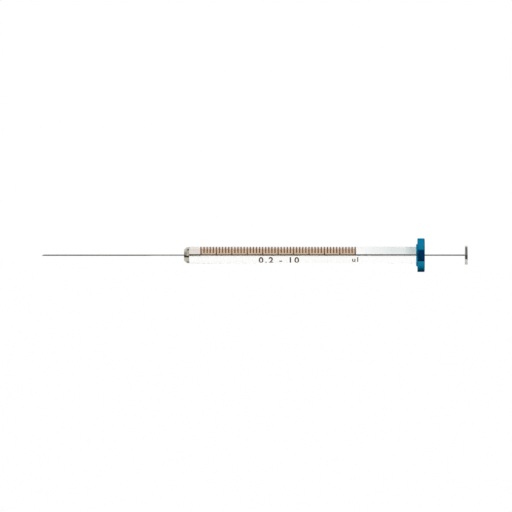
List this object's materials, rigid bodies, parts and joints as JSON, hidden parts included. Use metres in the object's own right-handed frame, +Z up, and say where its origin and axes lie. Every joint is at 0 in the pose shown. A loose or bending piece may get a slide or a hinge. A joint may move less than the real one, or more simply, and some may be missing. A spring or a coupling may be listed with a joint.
{
  "type": "microsyringe",
  "caption": "Glass microlitre syringe with a cemented steel needle, a brown scale, a blue flange and a sliding wire plunger with a metal button.",
  "frame": {"origin": "middle of the hub's front face, where the needle leaves it", "axes": "+X along the barrel from the needle to the plunger button, +Z up, with the scale on the upper front (-Y, +Z) of the glass"},
  "size_m": [0.1496, 0.0118, 0.0118],
  "materials": {
    "glass": "clear borosilicate glass",
    "nickel": "nickel-plated, satin",
    "steel": "drawn stainless steel",
    "blue_anodised": "blue anodised, gloss",
    "enamel": "fired brown enamel",
    "cement": "cured clear cement"
  },
  "bodies": {
    "syringe": {"barrel": "glass", "needle": "steel", "hub_cap": "nickel", "needle_cement": "cement", "hub_cement": "cement", "scale_marks": "enamel", "flange": "blue_anodised", "flange_cement": "cement"},
    "plunger": {"plunger_wire": "steel", "plunger_button": "nickel"}
  },
  "joints": [
    {"name": "plunger_slide", "type": "slide", "parent": "syringe", "child": "plunger", "axis": [1, 0, 0], "range_m": [0, 0.0541]}
  ]
}
